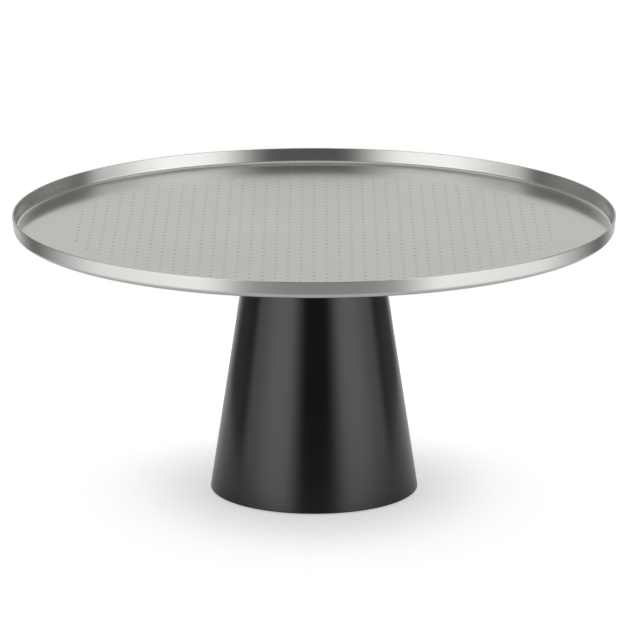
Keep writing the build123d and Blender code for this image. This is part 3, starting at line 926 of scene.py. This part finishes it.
@dataclass
class Studio:
    """A pale lit table, a room of soft light panels, and the camera."""

    floor_radius: float = 0.36
    floor_sides: int = 96
    floor_roughness: float = 0.9
    floor_shine: float = 0.1
    floor_colour: Colour = (0.80, 0.80, 0.80, 1.0)
    floor_glow: float = 0.62
    # painted shadow: the table's glow drops to this round the pedestal, as if shaded by it and the tray
    painted_shadow_glow: float = 0.46  # where the pedestal stands
    painted_shadow_reach: tuple[float, float] = (0.045, 0.105)  # radii where the one becomes the other
    painted_shadow_stretch: float = 0.85  # along Y
    # painted reflection: the object mirrors the floor darker and dimmer than it is
    mirrored_floor: Colour = (0.45, 0.45, 0.45, 1.0)  # the floor as the object mirrors it
    mirrored_glow: float = 0.60  # and its glow, as a share
    room: float = 0.095
    camera_place: tuple[float, float, float] = (0.00296, -2.2993, 0.6655)
    camera_pitch: float = 14.135  # degrees below level
    camera_reach: tuple[float, float] = (0.05, 60.0)
    lens: float = 266.5  # in mm, as is the sensor
    sensor: float = 36.0
    side_panels: tuple[Panel, ...] = (
        Panel(30, 98, -6, 24, 1.25, right_fade=14),
        Panel(30, 74, -6, 24, 1.0, right_fade=34),
        Panel(41, 118, -38, -9, 1.33, left_fade=24, right_fade=54),
        Panel(98, 152, -20, 60, 0.06, left_fade=14),
        Panel(98, 152, 14, 60, 0.16, left_fade=14),
        Panel(152, 203, -20, 70, 0.62, right_fade=1),
    )
    side_shift: float = 6.0
    ceiling: Panel = Panel(-400, 400, 46, 100, 0.65, fade=24)
    front: Panel = Panel(-45, 51, -50, -16, 0.26)

    def build_floor(self) -> None:
        """Adds the round table top, which glows a little and isn't there when looked at from below. Its glow
        is dimmed round the pedestal as a painted shadow, and the object's reflections see it darker, a
        painted reflection.
        """
        clear_selection()
        bpy.ops.mesh.primitive_circle_add(
            vertices=self.floor_sides, radius=self.floor_radius, fill_type="NGON"
        )
        floor = bpy.context.object
        floor.name = floor.data.name = "floor"
        surface = Surface("floor")
        tree = surface.tree
        # painted reflection: reflected rays see a darker floor colour and a weaker glow
        mirrored = tree.node("LightPath").outputs["Is Glossy Ray"]
        surface.put("Base Color", tree.mix(mirrored, self.floor_colour, self.mirrored_floor))
        # painted shadow: the glow is eased down near the pedestal, over an ellipse stretched along Y
        flat = tree.vector("MULTIPLY", surface.position, (1.0, self.painted_shadow_stretch, 0.0))[0]
        reach = tree.vector("LENGTH", flat)["Value"]
        glow = tree.ramp(reach, *self.painted_shadow_reach, self.painted_shadow_glow, self.floor_glow)
        surface.put("Emission Color", tree.mix(glow, BLACK, WHITE))
        surface.put("Emission Strength", tree.ramp(mirrored, 0.0, 1.0, 1.0, self.mirrored_glow))
        surface.put("Roughness", self.floor_roughness)
        surface.put("Specular IOR Level", self.floor_shine)
        below = tree.node("MixShader")
        tree.feed(below.inputs[0], tree.node("NewGeometry").outputs["Backfacing"])
        tree.feed(below.inputs[1], surface.shader.outputs[0])
        tree.feed(below.inputs[2], tree.node("BsdfTransparent").outputs[0])
        tree.feed(tree.tree.nodes["Material Output"].inputs["Surface"], below.outputs[0])
        floor.data.materials.append(surface.material)

    def build_room(self) -> None:
        """Makes the world: white where it is looked at, a dim room with soft panels for the object."""
        world = bpy.data.worlds.new("room")
        bpy.context.scene.world = world
        world.use_nodes = True
        tree = Tree(world.node_tree)
        way = tree.node("TexCoord").outputs["Generated"]
        light = self.room
        twins = [panel.mirrored(self.side_shift) for panel in self.side_panels]
        panels = [self.ceiling, self.front, *self.side_panels, *twins]
        for panel in panels:
            patch = tree.node("Group", node_tree=Effect.PANEL.group())
            tree.feed(patch.inputs["Position"], way)
            for edge in ("left", "right", "low", "high", "left_fade", "right_fade", "fade"):
                patch.inputs[edge.replace("_", " ").title()].default_value = radians(getattr(panel, edge))
            light = tree.math("ADD", light, tree.math("MULTIPLY", patch.outputs["Share"], panel.brightness))
        seen = tree.node("LightPath").outputs["Is Camera Ray"]
        shade = tree.node("CombineColor")
        for socket in shade.inputs:
            tree.feed(socket, light)
        shader = world.node_tree.nodes["Background"]
        tree.feed(shader.inputs["Color"], tree.mix(seen, shade.outputs[0], WHITE))
        LOG.info("room with %d light panels", len(panels))

    def build_camera(self) -> None:
        """Adds the camera."""
        data = bpy.data.cameras.new("camera")
        data.lens, data.sensor_width = self.lens, self.sensor
        data.clip_start, data.clip_end = self.camera_reach
        camera = bpy.data.objects.new("camera", data)
        camera.location = self.camera_place
        camera.rotation_euler = Euler((radians(90 - self.camera_pitch), 0.0, 0.0))
        bpy.context.collection.objects.link(camera)
        bpy.context.scene.camera = camera

    def build(self) -> None:
        """Builds the whole studio."""
        self.build_floor()
        self.build_room()
        self.build_camera()
        bpy.context.scene.view_settings.view_transform = "Standard"


def main() -> None:
    """Builds the pieces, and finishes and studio."""
    logging.basicConfig(level=logging.INFO, format="%(name)s: %(message)s")
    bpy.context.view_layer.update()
    for assembly in (TurningTop(), Pedestal()):
        assembly.build()
        assembly.dress()
    for seat in Seat:
        Bearing(seat).dress()
    Studio().build()


if __name__ == "__main__":
    main()
